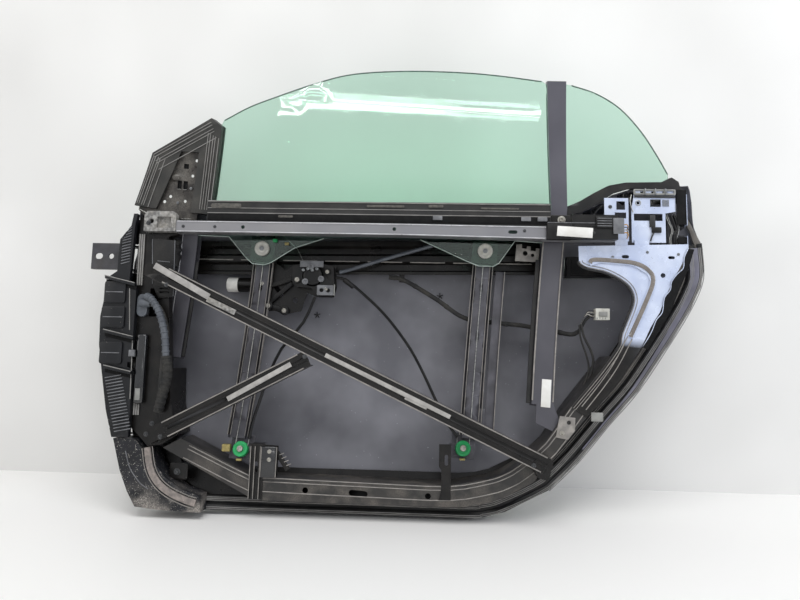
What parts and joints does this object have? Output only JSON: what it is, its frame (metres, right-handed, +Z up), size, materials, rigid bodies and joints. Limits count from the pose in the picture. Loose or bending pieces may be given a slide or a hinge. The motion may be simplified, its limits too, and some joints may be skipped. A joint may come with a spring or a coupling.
{
  "type": "car door shell",
  "caption": "Right-hand car door shell without its trim, with the window glass, cable window lifter, crash beams, hinges and latch in place.",
  "frame": {"origin": "on the upper hinge leaf's mounting face, between its two bolt holes", "axes": "+X from the hinge side to the latch side, +Y out of the car, +Z up with the door hanging upright"},
  "size_m": [1.319, 0.1706, 0.9346],
  "materials": {
    "black_paint": "satin",
    "skin_coat": "dull primer",
    "blue_grey_paint": "gloss",
    "grey_metal": "satin",
    "galvanised": "dull zinc",
    "black_plastic": "fine grain",
    "grey_plastic": "satin",
    "rubber": "matte",
    "green_glass": "clear",
    "green_plastic": "satin",
    "white_plastic": "satin",
    "hinge_steel": "satin",
    "bright_steel": "bright",
    "cloth_tape": "matte"
  },
  "bodies": {
    "door": {"outer_skin": "skin_coat", "inner_rim": "black_paint", "perimeter_seal": "rubber", "bottom_channel": "black_paint", "hinge_pillar": "black_paint", "latch_plate": "blue_grey_paint", "rear_plate_inner": "blue_grey_paint", "rear_plate_outer": "blue_grey_paint", "belt_beam": "grey_metal", "corner_block": "galvanised", "outer_belt_reinforcement": "black_paint", "crash_beam_long": "black_paint", "crash_beam_short": "black_paint", "hinge_side_cover": "black_plastic", "lower_corner_cover": "black_plastic", "front_guide": "black_paint", "rear_guide": "black_paint", "divider_bar": "black_plastic", "quarter_glass": "green_glass", "quarter_seal": "rubber", "sail_plate": "grey_metal", "sail_seal": "rubber", "inner_belt_seal": "rubber", "outer_belt_seal": "rubber", "rail_front": "black_paint", "rail_rear": "black_paint", "regulator_plate": "black_paint", "drum_housing": "black_plastic", "window_motor": "black_paint", "cable_front": "bright_steel", "cable_rear": "bright_steel", "conduit_front": "black_plastic", "conduit_lower": "black_plastic", "conduit_upper": "black_plastic", "post_front": "black_paint", "post_rear": "black_paint", "latch_housing": "galvanised", "handle_bracket": "black_plastic", "hinge_half_upper": "hinge_steel", "hinge_half_lower": "hinge_steel", "control_module": "black_plastic", "harness_grommet": "rubber", "door_harness": "cloth_tape", "cross_harness": "cloth_tape", "harness_connector": "white_plastic"},
    "window": {"main_glass": "green_glass", "carrier_front": "grey_plastic", "carrier_rear": "grey_plastic", "fixing_disc_front": "white_plastic", "fixing_disc_rear": "white_plastic"},
    "front_pulley": {"pulley_front": "green_plastic"},
    "rear_pulley": {"pulley_rear": "green_plastic"},
    "drum": {"cable_drum": "white_plastic"},
    "claw": {"latch_claw": "bright_steel"},
    "lever": {"release_lever": "galvanised"},
    "handle": {"outer_handle": "black_paint"},
    "lock": {"lock_cylinder": "bright_steel"},
    "upper_leaf": {"hinge_leaf_upper": "hinge_steel"},
    "lower_leaf": {"hinge_leaf_lower": "hinge_steel"}
  },
  "joints": [
    {"name": "window_slide", "type": "hinge", "parent": "door", "child": "window", "pos_m": [0.56, -1.402, -0.06], "axis": [-0.9973, 0, 0.0732], "range_deg": [0, 11.26]},
    {"name": "upper_leaf_swing", "type": "hinge", "parent": "door", "child": "upper_leaf", "pos_m": [0.058, 0.044, 0], "axis": [0, 0, 1], "range_deg": [-72, 0]},
    {"name": "lower_leaf_swing", "type": "hinge", "parent": "door", "child": "lower_leaf", "pos_m": [0.058, 0.044, -0.303], "axis": [0, 0, 1], "range_deg": [-2, 70]},
    {"name": "front_pulley_spin", "type": "hinge", "parent": "door", "child": "front_pulley", "pos_m": [0.30947, 0.01804, -0.39943], "axis": [-0.0178, 0.9698, -0.2431], "continuous": true},
    {"name": "rear_pulley_spin", "type": "hinge", "parent": "door", "child": "rear_pulley", "pos_m": [0.77062, 0.02886, -0.38696], "axis": [-0.0155, 0.9772, -0.2116], "continuous": true},
    {"name": "drum_spin", "type": "hinge", "parent": "door", "child": "drum", "pos_m": [0.4385, 0.0677, -0.027], "axis": [0, 1, 0], "continuous": true},
    {"name": "claw_turn", "type": "hinge", "parent": "door", "child": "claw", "pos_m": [1.215, 0.044, 0.086], "axis": [1, 0, 0], "range_deg": [0, 40]},
    {"name": "release_lever_turn", "type": "hinge", "parent": "door", "child": "lever", "pos_m": [1.187, 0.052, 0.056], "axis": [1, 0, 0], "range_deg": [0, 10], "stiffness_Nm_per_rad": 0.2},
    {"name": "outer_handle_pull", "type": "hinge", "parent": "door", "child": "handle", "pos_m": [1.07, 0.1002, 0.0185], "axis": [1, 0, 0], "range_deg": [0, 16], "stiffness_Nm_per_rad": 0.8, "springref_deg": -4.58},
    {"name": "lock_turn", "type": "hinge", "parent": "door", "child": "lock", "pos_m": [1.168, 0.095, 0.008], "axis": [0, 1, 0], "range_deg": [-60, 60]}
  ]
}
